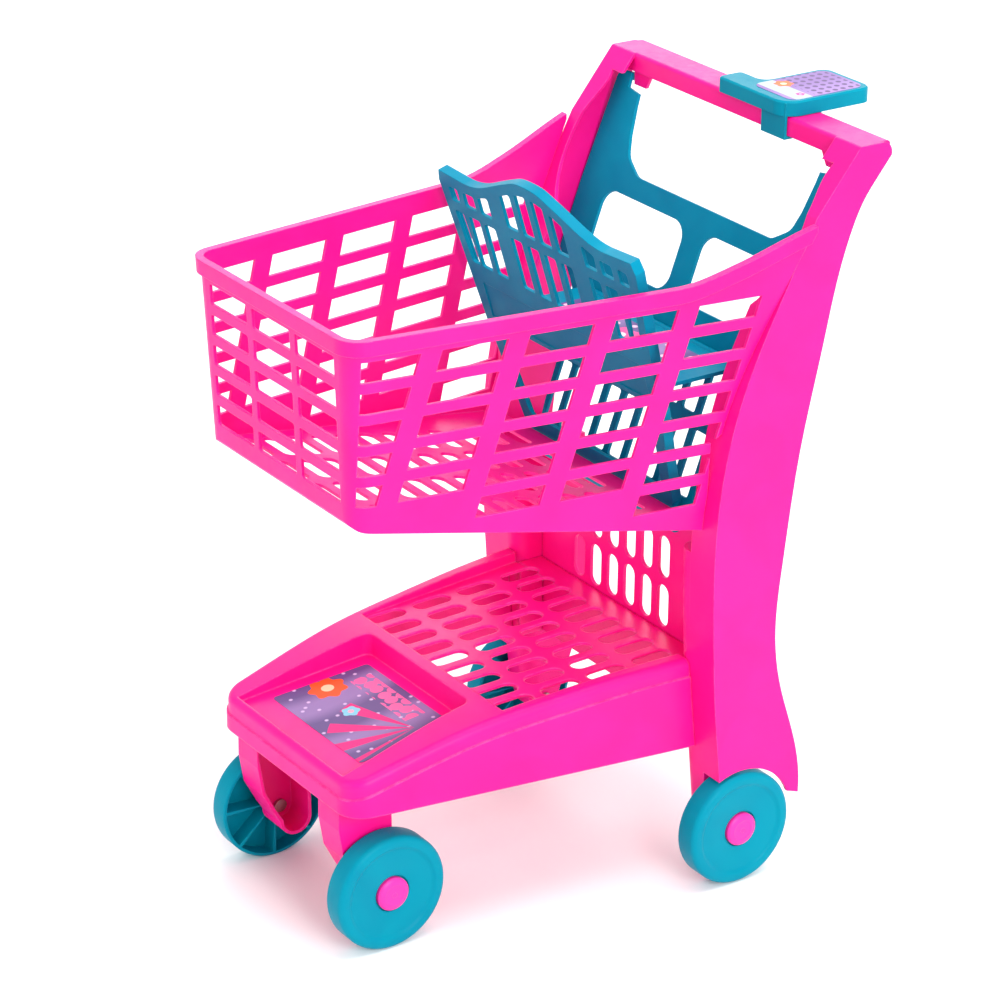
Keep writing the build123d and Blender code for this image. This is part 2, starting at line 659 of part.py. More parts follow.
DECK_SLOT = (32.0, 14.0)
CROWN_ROUND = 6.0
with BuildPart() as base_shell:
    add(base_block(STEP_OUT, 19.0))
    lower_block = base_block(0, 20.0) & side_prism(lower_skirt, -130, 130)
    add(lower_block)
    add(side_prism(skirt_profile, -130, 130), mode=Mode.INTERSECT)
    crown_edges = base_shell.edges().filter_by_position(Axis.Z, 160, 175).sort_by(SortBy.LENGTH)
    fillet([e for e in crown_edges if abs(e.center().X) > 60][-2:], radius=CROWN_ROUND)
    outside = base_shell.part
    add(base_block(WALL + STEP_OUT, 17.0, SKIRT_REAR_Y + 1) & side_prism(under_deck, -130, 130),
        mode=Mode.SUBTRACT)
    add((recess_lining + well_lining) & outside)
    add(recess, mode=Mode.SUBTRACT)
    add(well, mode=Mode.SUBTRACT)

INNER_HALF_X = CHANNEL_X - FIT  # the deck runs back between the uprights
with BuildPart() as base_deck:
    add(base_shell.part)
    add(both_sides(upright_hull.moved(Location((0, -FIT, 0)))), mode=Mode.SUBTRACT)
    # deck and side flanges between the uprights
    with BuildSketch(Plane.XZ.offset(-SKIRT_REAR_Y + 8)):
        Polygon(
            (-INNER_HALF_X, SKIRT_BOTTOM[1][1]), (-INNER_HALF_X, deck_z(66)),
            (INNER_HALF_X, deck_z(66)), (INNER_HALF_X, SKIRT_BOTTOM[1][1]),
            (INNER_HALF_X - WALL, SKIRT_BOTTOM[1][1]), (INNER_HALF_X - WALL, deck_z(66) - WALL),
            (-INNER_HALF_X + WALL, deck_z(66) - WALL), (-INNER_HALF_X + WALL, SKIRT_BOTTOM[1][1]),
            align=None,
        )
    extrude(amount=-(DECK_REAR_Y - SKIRT_REAR_Y + 8))
    with BuildSketch(Plane.XY.offset(90)):
        with Locations((0, -19)):
            with GridLocations(21.0, 40.0, 9, 4):
                SlotOverall(*DECK_SLOT, rotation=90)
    extrude(amount=100, mode=Mode.SUBTRACT)
    add(screw_bores.part, mode=Mode.SUBTRACT)
save(base_deck.part, "base_deck")

# ---- rear grille -----------------------------------------------------------
GRILLE_Y = 75.0
GRILLE_BOTTOM_Z = 106.0
GRILLE_TOP_Z = 262.0
with BuildPart() as rear_grille:
    with BuildSketch(Plane.XZ.offset(-GRILLE_Y + WALL / 2)):
        with Locations((0, (GRILLE_BOTTOM_Z + GRILLE_TOP_Z) / 2)):
            Rectangle(2 * INNER_HALF_X, GRILLE_TOP_Z - GRILLE_BOTTOM_Z)
        with Locations((0, 207)):
            with GridLocations(21.0, 39.0, 6, 2):
                SlotOverall(33.0, 13.5, rotation=90, mode=Mode.SUBTRACT)
    extrude(amount=-WALL)
    # stiffening rail along the top and lugs along the sides
    with BuildSketch(Plane.XZ.offset(-GRILLE_Y - WALL / 2)):
        with Locations((0, GRILLE_TOP_Z - 1.25)):
            Rectangle(2 * INNER_HALF_X, 2.5)
        for side in (-1, 1):
            with Locations((side * (INNER_HALF_X - WALL / 2), (GRILLE_BOTTOM_Z + GRILLE_TOP_Z) / 2)):
                Rectangle(WALL, GRILLE_TOP_Z - GRILLE_BOTTOM_Z)
    extrude(amount=-5.0)
save(rear_grille.part, "rear_grille")

# ---- front legs ------------------------------------------------------------
LEG_WEB_X = 69.0                # outer face of a front leg
LEG_INNER_X = 42.0
LEG_TOP_Z = 131.0
with BuildSketch(Plane.YZ) as front_leg_outline:
    with BuildLine():
        Polyline(
            (FRONT_AXLE_Y - 13.0, WHEEL_R), (-202, 52), (-212, 71), (-217, 100),
            (-217, LEG_TOP_Z), (-173, LEG_TOP_Z), (-171, WHEEL_R),
        )
        ThreePointArc(
            (FRONT_AXLE_Y + 13.0, WHEEL_R),
            (FRONT_AXLE_Y, WHEEL_R - 13.0),
            (FRONT_AXLE_Y - 13.0, WHEEL_R),
        )
    make_face()
with BuildSketch(Plane.YZ) as under_tray:
    Polygon(
        (BASE_FRONT_Y + WALL + STEP_OUT + 0.3, 0), (-150, 0), (-150, tray_z(-150) - WALL - FIT),
        (BASE_FRONT_Y + WALL + STEP_OUT + 0.3, tray_z(BASE_FRONT_Y) - WALL - FIT),
        align=None,
    )
for side_name, flip in (("right", False), ("left", True)):
    with BuildPart() as front_leg:
        add(side_prism(front_leg_outline, LEG_INNER_X, LEG_WEB_X))
        with BuildSketch(Plane.YZ.offset(LEG_INNER_X)):
            add(front_leg_outline.sketch_local)
            offset(amount=-WALL, mode=Mode.REPLACE)
        extrude(amount=LEG_WEB_X - LEG_INNER_X - WALL, mode=Mode.SUBTRACT)
        with BuildSketch(Plane.YZ.offset(LEG_WEB_X)):
            with Locations((FRONT_AXLE_Y, WHEEL_R)):
                Circle(7.0)
        extrude(amount=1.0)
        add(side_prism(under_tray, 0, 100), mode=Mode.INTERSECT)
        with BuildSketch(Plane.YZ):
            with Locations((FRONT_AXLE_Y, WHEEL_R)):
                Circle(AXLE_R + RUN_GAP)
        extrude(amount=100, mode=Mode.SUBTRACT)
    leg_part = mirror(front_leg.part, about=Plane.YZ) if flip else front_leg.part
    save(leg_part, f"front_leg_{side_name}")

# ---- seat gate: framed panel between the uprights --------------------------
GATE_Y = 65.0                   # foot of the gate's front face
GATE_Z = 267.0
GATE_SKIN = 2.5
gate_plane = lean_plane(GATE_Y, GATE_Z, GATE_LEAN)
GRILLE_X = (10.4, 31.2, 52.0, 72.8)
with BuildSketch(gate_plane) as gate_outline:
    with BuildLine():
        Polyline((0, 0), (96, 0), (102, 12), (104, 30), (106, 110), (120, 124))
        Line((120, 124), (142, 142))
        Polyline((142, 142), (142, 192), (137, 284), (122, 284))
        Polyline((122, 284), (121, 273), (107, 271), (106, 262), (102, 240), (97, 225))
        Polyline((97, 225), (80, 214), (0, 214))
        mirror(about=Plane.YZ)
    make_face()
    fillet(
        [v for v in gate_outline.vertices() if v.Y > 270 and abs(v.X) > 130], radius=8.0
    )
    fillet(
        [v for v in gate_outline.vertices() if 213 < v.Y < 226 and abs(v.X) < 100], radius=14.0
    )
with BuildSketch(gate_plane) as gate_leg_holes:
    for side in (-1, 1):
        with Locations((side * 61.0, 171.5)):
            RectangleRounded(100.0, 52.5, 14.0)
with BuildSketch(gate_plane) as gate_slots:
    for side in (-1, 1):
        for slot_x in (*GRILLE_X, 92.5):
            for low_s, high_s in ((18.0, 66.0), (76.0, 121.0)):
                with Locations((side * slot_x, (low_s + high_s) / 2)):
                    RectangleRounded(13.0 if slot_x > 90 else 14.8, high_s - low_s, 2.5)

LUG_INNER_X = 85.0
LUG_WIDTH = 3.5
PIN_R = 2.5
PAN_LUG_X = 96.6
PAN_PIN_R = 2.0
PAN_LUG_WIDTH = 2.5
pan_pivot = gate_plane.from_local_coords((0, PAN_S, PAN_SETOUT))

with BuildPart() as seat_gate:
    with BuildSketch(gate_plane):
        add(gate_outline.sketch_local)
        add(gate_leg_holes.sketch_local, mode=Mode.SUBTRACT)
        add(gate_slots.sketch_local, mode=Mode.SUBTRACT)
    extrude(amount=-GATE_SKIN)
    # stiffening rims along the foot and down the outer sides
    with BuildSketch(gate_plane.offset(-GATE_SKIN)):
        add(gate_outline.sketch_local)
        offset(gate_outline.sketch_local, amount=-WALL, mode=Mode.SUBTRACT)
        with Locations((0, 160)):
            Rectangle(2 * 124.0, 290, mode=Mode.SUBTRACT)
    extrude(amount=-(RIM_DEPTH - GATE_SKIN))
    # lugs for the seat back's pins and for the pan's pins
    for side in (-1, 1):
        hinge_plane = Plane(
            origin=(side * LUG_INNER_X, HINGE_Y, HINGE_Z), x_dir=(0, 1, 0), z_dir=(side, 0, 0)
        )
        with BuildSketch(hinge_plane):
            Circle(6.0)
            with Locations(hinge_plane.to_local_coords(
                Vector(side * LUG_INNER_X, HINGE_Y + 6.0, HINGE_Z + 2.0)
            )):
                Rectangle(10.0, 9.0)
            Circle(PIN_R + RUN_GAP, mode=Mode.SUBTRACT)
        extrude(amount=LUG_WIDTH)
        pan_plane = Plane(
            origin=(side * PAN_LUG_X, pan_pivot.Y, pan_pivot.Z),
            x_dir=-gate_plane.z_dir, z_dir=(side, 0, 0),
        )
        with BuildSketch(pan_plane):
            Circle(4.5)
            with Locations(((PAN_SETOUT + GATE_SKIN) / 2, 0)):
                Rectangle(PAN_SETOUT + GATE_SKIN - 0.5, 9.0)
            Circle(PAN_PIN_R + RUN_GAP, mode=Mode.SUBTRACT)
        extrude(amount=PAN_LUG_WIDTH)
save(seat_gate.part, "seat_gate")

# ---- seat back: slotted panel hinged at its foot ---------------------------
BACK_FACE = 1.0                 # front face in front of the hinge axis
BACK_RIM = 8.0                  # overall depth over the side rims
BARREL_R = 4.5
seat_plane = lean_plane(HINGE_Y, HINGE_Z, -SEAT_LEAN).offset(BACK_FACE)
SEAT_EDGE = [(84, -4), (84, 10), (92, 20), (98, 55), (107, 100), (121, 222)]
CREST_T = 229.0
CREST_RISE = 24.0
CREST_HALF_X = 85.0


def crest_t(x):
    """Height of the wavy top edge."""
    if abs(x) >= CREST_HALF_X:
        return CREST_T
    return CREST_T + CREST_RISE / 2 * (1 + cos(pi * x / CREST_HALF_X))


def seat_outline(inset):
    """Front outline of the seat back, moved in by inset at its sides and top."""
    with BuildSketch(seat_plane) as outline:
        with BuildLine():
            Polyline(
                (0, SEAT_EDGE[0][1]),
                *[(x - inset, t) for x, t in SEAT_EDGE],
                (118 - inset, CREST_T + 2 - inset),
                (CREST_HALF_X, CREST_T - inset),
            )
            Spline(
                [(x, crest_t(x) - inset) for x in (CREST_HALF_X, 63, 42, 21, 0)],
                tangents=[(-1, 0), (-1, 0)],
            )
            mirror(about=Plane.YZ)
        make_face()
    return outline.sketch_local


TOP_SLOT_X = (10.4, 31.2, 64.5, 84.5, 104.0)
SLOT_WIDTH = 14.0
TOP_ROW_T = 208.0
LOW_ROW_T = (157.0, 200.0)
WINDOW_T = (30.0, 108.0)
with BuildSketch(seat_plane) as seat_windows:
    for side in (-1, 1):
        for slot_x in TOP_SLOT_X:
            half = SLOT_WIDTH / 2 if slot_x < 100 else SLOT_WIDTH / 2 - 1.5
            lean = 0.0 if slot_x < 100 else 5.0
            x = side * slot_x
            inner, outer = x - side * half, x + side * half
            Polygon(
                (inner, TOP_ROW_T), (outer, TOP_ROW_T),
                (outer, crest_t(outer) - 9.0), (inner, crest_t(inner) - 9.0),
                align=None,
            )
            Polygon(
                (inner - side * lean, LOW_ROW_T[0]), (outer - side * lean, LOW_ROW_T[0]),
                (outer, LOW_ROW_T[1]), (inner, LOW_ROW_T[1]),
                align=None,
            )
    fillet(seat_windows.vertices(), radius=2.0)
with BuildSketch(seat_plane) as seat_window:
    Polygon(
        (-82, WINDOW_T[0]), (82, WINDOW_T[0]), (96, WINDOW_T[1]), (-96, WINDOW_T[1]), align=None
    )
    fillet(seat_window.vertices(), radius=8.0)

with BuildPart() as seat_back:
    with BuildSketch(seat_plane):
        add(seat_outline(0))
        add(seat_windows.sketch_local, mode=Mode.SUBTRACT)
        add(seat_window.sketch_local, mode=Mode.SUBTRACT)
    extrude(amount=-WALL)
    with BuildSketch(seat_plane.offset(-WALL)):
        add(seat_outline(0))
        add(seat_outline(WALL), mode=Mode.SUBTRACT)
        with Locations((0, -5)):
            Rectangle(200, 18, mode=Mode.SUBTRACT)
    extrude(amount=-(BACK_RIM - WALL))
    # shallow recess across the panel above the window
    with BuildSketch(seat_plane):
        with Locations((0, 126.5)):
            Rectangle(196, 29)
    extrude(amount=-0.8, mode=Mode.SUBTRACT)
    # hinge barrel with its pins
    hinge_line = Plane(origin=(0, HINGE_Y, HINGE_Z), z_dir=(1, 0, 0))
    with BuildSketch(hinge_line):
        Circle(BARREL_R)
    extrude(amount=LUG_INNER_X - 0.5, both=True)
    with BuildSketch(hinge_line):
        Circle(PIN_R)
    extrude(amount=LUG_INNER_X + LUG_WIDTH, both=True)
save(seat_back.part, "seat_back")

# ---- seat pan and its label ------------------------------------------------
PAN_THICK = 3.0
with BuildPart() as seat_pan:
    with BuildSketch(Plane.XY.offset(pan_pivot.Z - PAN_THICK / 2)) as pan_plan:
        with Locations((0, pan_pivot.Y - PAN_LENGTH / 2)):
            Rectangle(2 * PAN_HALF_X, PAN_LENGTH)
        fillet(pan_plan.vertices().sort_by(Axis.Y)[:2], radius=6.0)
    extrude(amount=PAN_THICK)
    pan_line = Plane(origin=(0, pan_pivot.Y, pan_pivot.Z), z_dir=(1, 0, 0))
    with BuildSketch(pan_line):
        Circle(PAN_THICK)
    extrude(amount=PAN_HALF_X, both=True)
    with BuildSketch(pan_line):
        Circle(PAN_PIN_R)
    extrude(amount=PAN_LUG_X + PAN_LUG_WIDTH, both=True)
save(seat_pan.part, "seat_pan")

PAN_LABEL = (150.0, 48.0)
with BuildPart() as seat_label:
    with BuildSketch(Plane.XY.offset(pan_pivot.Z + PAN_THICK / 2)):
        with Locations((0, pan_pivot.Y - PAN_LENGTH / 2 - 3.0)):
            RectangleRounded(*PAN_LABEL, 4.0)
    extrude(amount=LABEL)
save(seat_label.part, "seat_label")

# ---- label in the front tray -----------------------------------------------
tray_angle = (TRAY_REAR_Z - TRAY_FRONT_Z) / (TRAY_REAR_Y - TRAY_FRONT_Y)
tray_plane = Plane(
    origin=(0, TRAY_FRONT_Y, TRAY_FRONT_Z), x_dir=(1, 0, 0), z_dir=(0, -tray_angle, 1)
)
with BuildPart() as tray_label:
    with BuildSketch(tray_plane) as tray_label_plan:
        Polygon((-60, 22), (60, 22), (54, 100), (-54, 100), align=None)
        fillet(tray_label_plan.vertices(), radius=3.0)
    extrude(amount=LABEL)
save(tray_label.part, "tray_label")

# ---- toy phone clipped over the handle -------------------------------------
PHONE_Z = HANDLE_TOP_Z + 0.4
PHONE_TOP_Z = PHONE_Z + 11.0
CLIP_X = 51.5
CLIP_WIDTH = 27.0
with BuildSketch(Plane.XY.offset(PHONE_Z)) as phone_plan:
    Polygon((-10, 155.5), (69.5, 155.5), (69.5, 234), (16, 234), (16, 177), (-10, 177), align=None)
    fillet([v for v in phone_plan.vertices() if v.Y > 225], radius=9.0)
    fillet([v for v in phone_plan.vertices() if v.X > 55 and v.Y < 170], radius=15.0)
    fillet([v for v in phone_plan.vertices() if v.X == 16 and v.Y < 180], radius=8.0)
    fillet([v for v in phone_plan.vertices() if v.X < -5], radius=4.0)
with BuildPart() as phone_tray:
    with BuildSketch(Plane.XY.offset(PHONE_Z)):
        add(phone_plan.sketch_local)
    extrude(amount=PHONE_TOP_Z - PHONE_Z)
    chamfer(phone_tray.faces().sort_by(Axis.Z)[-1].edges(), length=1.2)
    with BuildSketch(Plane.XY.offset(PHONE_Z)):
        offset(phone_plan.sketch_local, amount=-WALL)
    extrude(amount=PHONE_TOP_Z - PHONE_Z - WALL, mode=Mode.SUBTRACT)
    # spring clip round the bar
    with BuildSketch(Plane.YZ.offset(CLIP_X - CLIP_WIDTH / 2)):
        with BuildLine():
            Polyline(
                (HANDLE_FRONT_Y - 2.4, PHONE_Z + 1), (HANDLE_FRONT_Y - 2.4, 533.2),
                (HANDLE_FRONT_Y + 7.0, 533.2), (HANDLE_FRONT_Y + 7.0, 535.5),
                (HANDLE_FRONT_Y - 0.4, 535.5), (HANDLE_FRONT_Y - 0.4, PHONE_Z + 1),
                close=True,
            )
        make_face()
    extrude(amount=CLIP_WIDTH)
    with BuildSketch(Plane.YZ.offset(CLIP_X - CLIP_WIDTH / 2)):
        with BuildLine():
            Polyline(
                (HANDLE_BACK_Y + 2.4, PHONE_Z + 1), (HANDLE_BACK_Y + 2.4, 533.2),
                (HANDLE_BACK_Y - 5.0, 533.2), (HANDLE_BACK_Y - 5.0, 535.5),
                (HANDLE_BACK_Y + 0.4, 535.5), (HANDLE_BACK_Y + 0.4, PHONE_Z + 1),
                close=True,
            )
        make_face()
    extrude(amount=CLIP_WIDTH)
    # the clip's roots are tied to the top plate
    for root_y in (HANDLE_FRONT_Y - 1.4, HANDLE_BACK_Y + 1.4):
        with BuildSketch(Plane.XY.offset(PHONE_Z)):
            with Locations((CLIP_X, root_y)):
                Rectangle(CLIP_WIDTH, 2.0)
        extrude(amount=PHONE_TOP_Z - PHONE_Z - 1.5)
save(phone_tray.part, "phone_tray")
with BuildPart() as phone_label:
    with BuildSketch(Plane.XY.offset(PHONE_TOP_Z)):
        with Locations((43.0, 196.5)):
            RectangleRounded(46.0, 66.0, 8.0)
    extrude(amount=LABEL)
save(phone_label.part, "phone_label")

# ---- screws from the uprights' channels into the base ----------------------
with BuildPart() as frame_screws:
    for side in (-1, 1):
        for screw_y, screw_z in SCREW_PLACES:
            head_plane = Plane(
                origin=(side * (CHANNEL_X + WALL), screw_y, screw_z), z_dir=(side, 0, 0)
            )
            with BuildSketch(head_plane):
                Circle(2.6)
            extrude(amount=2.0)
            with BuildSketch(head_plane):
                Circle(SCREW_R)
            extrude(amount=-SCREW_LENGTH)
save(frame_screws.part, "frame_screws")
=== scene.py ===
"""Toy shopping cart: pink and teal polypropylene mouldings with printed labels."""

import math

import bmesh
import bpy
from mathutils import Matrix, Vector


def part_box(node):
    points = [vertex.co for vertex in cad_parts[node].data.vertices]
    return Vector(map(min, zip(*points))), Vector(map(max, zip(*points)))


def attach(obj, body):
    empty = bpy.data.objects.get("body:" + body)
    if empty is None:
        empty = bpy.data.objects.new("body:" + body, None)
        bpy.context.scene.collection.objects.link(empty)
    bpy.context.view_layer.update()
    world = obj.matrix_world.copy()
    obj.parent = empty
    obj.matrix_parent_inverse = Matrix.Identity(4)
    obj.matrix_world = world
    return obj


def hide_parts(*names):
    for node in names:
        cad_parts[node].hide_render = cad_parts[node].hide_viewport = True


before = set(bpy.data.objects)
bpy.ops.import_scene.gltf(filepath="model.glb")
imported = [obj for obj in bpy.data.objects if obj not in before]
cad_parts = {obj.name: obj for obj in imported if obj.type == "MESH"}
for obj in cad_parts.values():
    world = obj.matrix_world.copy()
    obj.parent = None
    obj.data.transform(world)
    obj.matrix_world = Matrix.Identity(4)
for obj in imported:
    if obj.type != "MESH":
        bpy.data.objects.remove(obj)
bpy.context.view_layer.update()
MM = 0.001

# ---- camera ----------------------------------------------------------------
CAMERA_AZIMUTH = math.radians(55.6)
CAMERA_ELEVATION = math.radians(23.3)
CAMERA_ROLL = math.radians(0.7)
CAMERA_DISTANCE = 2.568
CAMERA_TARGET = Vector((0.0, -0.0355, 0.3009))
CAMERA_LENS = 129.2
CAMERA_SHIFT = (-0.0006, -0.0289)


def add_camera():
    """Long-lens camera above the cart's front right corner."""
    a, e = CAMERA_AZIMUTH, CAMERA_ELEVATION
    back = Vector((math.sin(a) * math.cos(e), -math.cos(a) * math.cos(e), math.sin(e)))
    right = Vector((math.cos(a), math.sin(a), 0.0))
    up = back.cross(right)
    rolled_right = right * math.cos(CAMERA_ROLL) + up * math.sin(CAMERA_ROLL)
    rolled_up = up * math.cos(CAMERA_ROLL) - right * math.sin(CAMERA_ROLL)
    data = bpy.data.cameras.new("camera")
    data.lens = CAMERA_LENS
    data.shift_x, data.shift_y = CAMERA_SHIFT
    data.clip_end = 50.0
    camera = bpy.data.objects.new("camera", data)
    bpy.context.collection.objects.link(camera)
    axes = Matrix((rolled_right, rolled_up, back)).transposed()
    place = CAMERA_TARGET + back * CAMERA_DISTANCE
    camera.matrix_world = Matrix.Translation(place) @ axes.to_4x4()
    bpy.context.scene.camera = camera


add_camera()


# ---- material helpers ------------------------------------------------------
def to_linear(hex_colour):
    """sRGB hex colour as linear RGBA."""
    values = [int(hex_colour[i:i + 2], 16) / 255 for i in (1, 3, 5)]
    return [v / 12.92 if v <= 0.04045 else ((v + 0.055) / 1.055) ** 2.4 for v in values] + [1.0]


def add_node(tree, kind, inputs=None, **settings):
    """Adds a node, sets its properties, and sets or links its inputs."""
    made = tree.nodes.new(kind)
    for name, value in settings.items():
        setattr(made, name, value)
    for key, value in (inputs or {}).items():
        if isinstance(value, bpy.types.NodeSocket):
            tree.links.new(value, made.inputs[key])
        else:
            made.inputs[key].default_value = value
    return made


def new_material(name):
    material = bpy.data.materials.new(name)
    material.use_nodes = True
    material.node_tree.nodes.clear()
    return material, material.node_tree


def finish_material(tree, shader_inputs):
    shader = add_node(tree, "ShaderNodeBsdfPrincipled", shader_inputs)
    add_node(tree, "ShaderNodeOutputMaterial", {"Surface": shader.outputs["BSDF"]})


def per_metre(millimetres):
    """Noise scale whose features are about this many millimetres across."""
    return 1.0 / (millimetres * MM)


def blend_colours(tree, factor, first, second):
    """Mix of two colours by a factor socket."""
    return add_node(
        tree, "ShaderNodeMix",
        {"Factor": factor, "A": first, "B": second}, data_type="RGBA",
    ).outputs["Result"]


def scaled(tree, value, low, high, from_low=0.0, from_high=1.0):
    """A 0 to 1 value spread over another range."""
    return add_node(
        tree, "ShaderNodeMapRange",
        {"Value": value, "From Min": from_low, "From Max": from_high, "To Min": low, "To Max": high},
    ).outputs["Result"]


# ---- polypropylene ---------------------------------------------------------
# Injection-moulded polypropylene: waxy satin gloss, light passing a little way in, very soft
# flow marks from filling the mould, a fine spark-eroded grain and paler rubbed edges.
FLOW_MM = 55.0
GRAIN_MM = 1.4                  # coarser than a real mould's grain, so that it shows
SCUFF_MM = 9.0
GRAIN_DEPTH_MM = 0.05


def polypropylene(name, colours, edge_radius_mm, roughness=0.36, gloss=0.25):
    """Moulded plastic from its body, flow mark and rubbed edge colours."""
    body_hex, flow_hex, edge_hex = colours
    material, tree = new_material(name)
    place = add_node(tree, "ShaderNodeTexCoord").outputs["Object"]
    flow = add_node(
        tree, "ShaderNodeTexNoise",
        {"Vector": place, "Scale": per_metre(FLOW_MM), "Detail": 2.0, "Distortion": 0.6},
    ).outputs["Fac"]
    grain = add_node(
        tree, "ShaderNodeTexNoise",
        {"Vector": place, "Scale": per_metre(GRAIN_MM), "Detail": 2.0, "Roughness": 0.6},
    ).outputs["Fac"]
    scuffs = add_node(
        tree, "ShaderNodeTexNoise",
        {"Vector": place, "Scale": per_metre(SCUFF_MM), "Detail": 5.0, "Roughness": 0.7},
    ).outputs["Fac"]
    rounded = add_node(
        tree, "ShaderNodeBevel", {"Radius": edge_radius_mm * MM}, samples=6
    ).outputs["Normal"]
    flat = add_node(tree, "ShaderNodeNewGeometry").outputs["Normal"]
    agreement = add_node(
        tree, "ShaderNodeVectorMath", {0: rounded, 1: flat}, operation="DOT_PRODUCT"
    ).outputs["Value"]
    edge = scaled(tree, agreement, 1.0, 0.0, 0.80, 0.995)
    streaked = blend_colours(
        tree, scaled(tree, flow, 0.0, 1.0, 0.35, 0.65), to_linear(body_hex), to_linear(flow_hex)
    )
    worn = add_node(
        tree, "ShaderNodeMath", {0: edge, 1: scaled(tree, scuffs, 0.15, 0.55, 0.4, 0.6)},
        operation="MULTIPLY",
    ).outputs["Value"]
    colour = blend_colours(tree, worn, streaked, to_linear(edge_hex))
    rough = add_node(
        tree, "ShaderNodeMath",
        {
            0: scaled(tree, scuffs, roughness - 0.05, roughness + 0.07, 0.3, 0.7),
            1: scaled(tree, grain, -0.03, 0.03),
        },
        operation="ADD",
    ).outputs["Value"]
    bump = add_node(
        tree, "ShaderNodeBump",
        {"Height": grain, "Strength": 0.10, "Distance": GRAIN_DEPTH_MM * MM, "Normal": rounded},
    ).outputs["Normal"]
    finish_material(tree, {
        "Base Color": colour,
        "Roughness": rough,
        "Normal": bump,
        "IOR": 1.49,
        "Specular IOR Level": gloss,
        "Subsurface Weight": 0.10,
        "Subsurface Radius": (2.0 * MM, 0.5 * MM, 1.0 * MM),
        "Subsurface Scale": 1.0,
    })
    return material


# ---- steel -----------------------------------------------------------------
# Drawn pins and pressed clips: dull grey metal with fine drawing marks along X.
MARKS_MM = 0.8
MARKS_STRETCH = 0.04
TARNISH_MM = 12.0
MARKS_DEPTH_MM = 0.02


def drawn_steel(name, body_hex, roughness):
    material, tree = new_material(name)
    place = add_node(tree, "ShaderNodeTexCoord").outputs["Object"]
    along = add_node(
        tree, "ShaderNodeMapping", {"Vector": place, "Scale": (MARKS_STRETCH, 1.0, 1.0)}
    ).outputs["Vector"]
    marks = add_node(
        tree, "ShaderNodeTexNoise", {"Vector": along, "Scale": per_metre(MARKS_MM), "Detail": 3.0}
    ).outputs["Fac"]
    tarnish = add_node(
        tree, "ShaderNodeTexNoise", {"Vector": place, "Scale": per_metre(TARNISH_MM), "Detail": 4.0}
    ).outputs["Fac"]
    colour = blend_colours(
        tree, scaled(tree, tarnish, 0.0, 1.0, 0.35, 0.7), to_linear(body_hex), to_linear("#8C8A88")
    )
    bump = add_node(
        tree, "ShaderNodeBump", {"Height": marks, "Strength": 0.2, "Distance": MARKS_DEPTH_MM * MM}
    ).outputs["Normal"]
    finish_material(tree, {
        "Base Color": colour,
        "Metallic": 1.0,
        "Roughness": scaled(tree, marks, roughness, roughness + 0.15),
        "Normal": bump,
    })
    return material


# ---- printed labels --------------------------------------------------------
# Printed vinyl under a satin film: flat ink colours with a slight sheen.
def axis_value(tree, place, axis):
    return add_node(tree, "ShaderNodeSeparateXYZ", {"Vector": place}).outputs[axis]


def add_maths(tree, operation, first, second=0.0):
    return add_node(
        tree, "ShaderNodeMath", {0: first, 1: second}, operation=operation
    ).outputs["Value"]


def label_frame(tree, node):
    """A label's own coordinates, in metres and as shares of its width and depth, and its size."""
    low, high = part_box(node)
    place = add_node(tree, "ShaderNodeTexCoord").outputs["Object"]
    local = add_node(
        tree, "ShaderNodeMapping", {"Vector": place, "Location": [-c for c in low]}
    ).outputs["Vector"]
    across = add_maths(tree, "DIVIDE", axis_value(tree, local, "X"), high[0] - low[0])
    along = add_maths(tree, "DIVIDE", axis_value(tree, local, "Y"), high[1] - low[1])
    return local, across, along, (high[0] - low[0], high[1] - low[1])


WAVE_RADIANS = 20.0             # phase that a wave texture adds over one unit at scale 1


def curtain_folds(tree, local, fold_mm, dark_hex, pale_hex):
    """Soft printed folds across the ground colour, one every 2 pi times fold_mm."""
    folds = add_node(
        tree, "ShaderNodeTexWave",
        {"Vector": local, "Scale": per_metre(fold_mm) / WAVE_RADIANS, "Distortion": 2.5,
         "Detail": 1.5, "Detail Scale": 1.2},
        wave_type="BANDS", bands_direction="X",
    ).outputs["Fac"]
    return blend_colours(
        tree, scaled(tree, folds, 0.0, 1.0, 0.2, 0.9), to_linear(dark_hex), to_linear(pale_hex)
    )


def offset_from(tree, across, along, centre, size):
    """Distances in metres from a point given as shares of the label's width and depth."""
    over = add_maths(
        tree, "MULTIPLY", add_maths(tree, "SUBTRACT", across, centre[0]), size[0]
    )
    up = add_maths(tree, "MULTIPLY", add_maths(tree, "SUBTRACT", along, centre[1]), size[1])
    return over, up


def radius_and_angle(tree, over, up):
    squared = add_maths(
        tree, "ADD", add_maths(tree, "MULTIPLY", over, over), add_maths(tree, "MULTIPLY", up, up)
    )
    return add_maths(tree, "SQRT", squared), add_maths(tree, "ARCTAN2", up, over)


PETAL_DIP = 0.8                 # shares of a flower's radius
HEART_SHARE = 0.32


def paint_flower(tree, ground, over, up, radius_mm, petals, petal_hex, heart_hex):
    """A flower with wavy petals and a pale heart, printed over the ground."""
    radius, angle = radius_and_angle(tree, over, up)
    wave = add_maths(tree, "COSINE", add_maths(tree, "MULTIPLY", angle, petals))
    edge = scaled(tree, wave, radius_mm * PETAL_DIP * MM, radius_mm * MM, -1.0, 1.0)
    inside = add_maths(tree, "LESS_THAN", radius, edge)
    flower = blend_colours(tree, inside, ground, to_linear(petal_hex))
    heart = add_maths(tree, "LESS_THAN", radius, radius_mm * HEART_SHARE * MM)
    return blend_colours(tree, heart, flower, to_linear(heart_hex))


